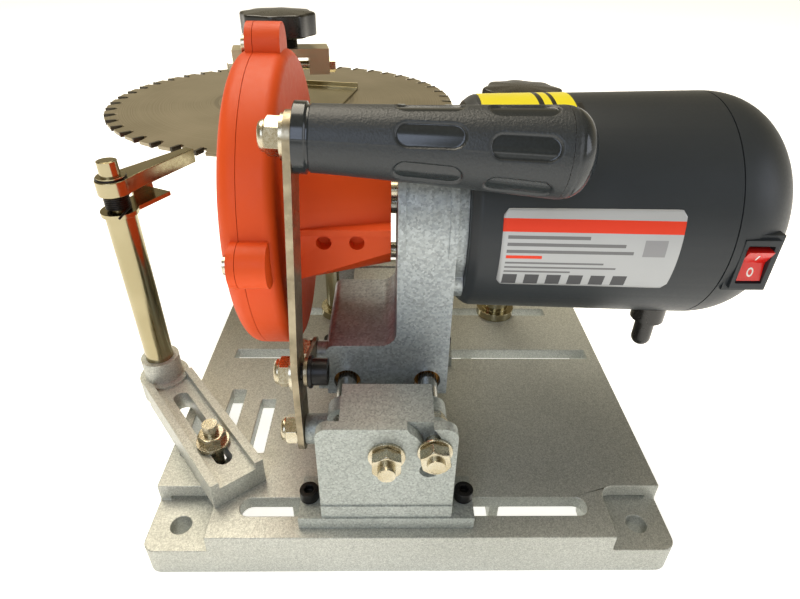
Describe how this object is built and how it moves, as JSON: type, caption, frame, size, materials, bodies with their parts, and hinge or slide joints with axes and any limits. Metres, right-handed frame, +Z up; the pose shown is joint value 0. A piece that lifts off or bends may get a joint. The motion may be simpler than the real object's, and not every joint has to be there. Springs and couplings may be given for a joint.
{
  "type": "circular saw blade sharpener",
  "caption": "Bench sharpener: an electric motor drives a guarded grinding wheel in a tilting, lever-fed head on a slotted base, with a rotating blade clamp and tooth stop.",
  "frame": {"origin": "centre of the four bench-bolt holes, on the underside of the base", "axes": "+X along the motor from the guard to the switch, +Y from the operator to the blade, +Z up"},
  "size_m": [0.405, 0.4233, 0.244],
  "materials": {
    "cast_paint": "satin",
    "head_paint": "satin",
    "zinc_steel": "satin",
    "chromed_steel": "gloss",
    "black_steel": "satin",
    "guard_paint": "satin",
    "motor_plastic": "satin",
    "grip_plastic": "grained",
    "knob_plastic": "satin",
    "red_plastic": "gloss",
    "bronze": "satin",
    "lamination": "satin",
    "abrasive": "rough",
    "blade_steel": "satin"
  },
  "bodies": {
    "base": {"base_casting": "cast_paint", "front_bracket": "cast_paint", "rear_bracket": "cast_paint", "bracket_screws": "black_steel", "slot_nuts": "zinc_steel", "tilt_pivot_bolts": "zinc_steel", "base_hex_nuts": "zinc_steel", "arm_bolt": "zinc_steel", "rail_pillars": "chromed_steel", "cross_rail": "chromed_steel", "guide_bar": "chromed_steel"},
    "tilt_frame": {"front_carrier": "cast_paint", "rear_carrier": "cast_paint", "guide_rods": "chromed_steel", "clamp_bolt": "zinc_steel", "frame_hex_nuts": "zinc_steel", "lever_pin": "zinc_steel", "depth_stop_screw": "zinc_steel"},
    "head": {"head_casting": "head_paint", "rod_bushes": "bronze", "link_stud": "zinc_steel", "link_nut": "zinc_steel", "motor_flange": "head_paint", "flange_screws": "zinc_steel", "motor_shell": "motor_plastic", "motor_end_cap": "motor_plastic", "stator": "lamination", "brush_holders": "bronze", "spindle_bearings": "chromed_steel", "switch_bezel": "motor_plastic", "cord_gland": "motor_plastic", "guard_cover": "guard_paint", "guard_body": "guard_paint", "guard_screws": "zinc_steel", "neck_bolts": "zinc_steel"},
    "rotor": {"spindle": "lamination", "armature": "lamination", "cooling_fan": "motor_plastic", "stone_flanges": "zinc_steel", "grinding_stone": "abrasive", "stone_nut": "zinc_steel"},
    "rocker": {"switch_rocker": "red_plastic"},
    "lever": {"lever_plate": "zinc_steel", "hand_grip": "grip_plastic", "grip_bolt": "zinc_steel", "lever_nuts": "zinc_steel", "link_screw": "black_steel"},
    "link": {"link_plate": "zinc_steel"},
    "arm": {"stop_arm": "cast_paint"},
    "post": {"stop_post": "chromed_steel", "stop_spring": "black_steel"},
    "pawl": {"stop_pawl": "chromed_steel"},
    "carriage": {"carriage_slider": "cast_paint", "blade_stud": "zinc_steel", "pressure_plate": "chromed_steel", "clamp_stirrup": "chromed_steel", "stirrup_bolt": "zinc_steel"},
    "blade": {"saw_blade": "blade_steel"},
    "clamp_knob": {"blade_knob": "knob_plastic"},
    "rail_lock": {"rail_knob": "knob_plastic"}
  },
  "joints": [
    {"name": "frame_tilt", "type": "hinge", "parent": "base", "child": "tilt_frame", "pos_m": [-0.0125, -0.122, 0.0795], "axis": [0, 1, 0], "range_deg": [-12, 12]},
    {"name": "head_slide", "type": "slide", "parent": "tilt_frame", "child": "head", "axis": [0, 1, 0], "range_m": [-0.016, 0]},
    {"name": "rotor_spin", "type": "hinge", "parent": "head", "child": "rotor", "pos_m": [0, -0.035, 0.1605], "axis": [1, 0, 0], "continuous": true},
    {"name": "switch_rock", "type": "hinge", "parent": "head", "child": "rocker", "pos_m": [0.1515, -0.0868, 0.1555], "axis": [1, 0, 0], "range_deg": [-18, 0]},
    {"name": "lever_swing", "type": "hinge", "parent": "tilt_frame", "child": "lever", "pos_m": [-0.0535, -0.107, 0.07], "axis": [1, 0, 0], "range_deg": [0, 27.7]},
    {"name": "link_swing", "type": "hinge", "parent": "lever", "child": "link", "pos_m": [-0.0499, -0.1051, 0.1053], "axis": [1, 0, 0], "range_deg": [-22.9, 0]},
    {"name": "arm_swing", "type": "hinge", "parent": "base", "child": "arm", "pos_m": [-0.1075, -0.0905, 0.036], "axis": [0, 0, 1], "range_deg": [0, 20]},
    {"name": "post_height", "type": "slide", "parent": "arm", "child": "post", "axis": [0, 0, 1], "range_m": [-0.008, 0.008]},
    {"name": "pawl_turn", "type": "hinge", "parent": "post", "child": "pawl", "pos_m": [-0.1528, -0.0331, 0.167], "axis": [0, 0, 1], "range_deg": [-15, 0], "stiffness_Nm_per_rad": 0.06, "springref_deg": 20.05},
    {"name": "carriage_slide", "type": "slide", "parent": "base", "child": "carriage", "axis": [0, 1, 0], "range_m": [-0.004, 0.07]},
    {"name": "blade_spin", "type": "hinge", "parent": "carriage", "child": "blade", "pos_m": [-0.0935, 0.149, 0.165], "axis": [0, 0, 1], "continuous": true},
    {"name": "clamp_knob_turn", "type": "hinge", "parent": "carriage", "child": "clamp_knob", "pos_m": [-0.0935, 0.149, 0.21], "axis": [0, 0, 1], "continuous": true},
    {"name": "rail_knob_turn", "type": "hinge", "parent": "base", "child": "rail_lock", "pos_m": [0.0706, 0.057, 0.195], "axis": [0, 0, 1], "continuous": true}
  ],
  "couplings": [
    {"joint": "lever_swing", "follows": "head_slide", "rad_per_m": -30.172},
    {"joint": "link_swing", "follows": "head_slide", "rad_per_m": 24.892}
  ]
}
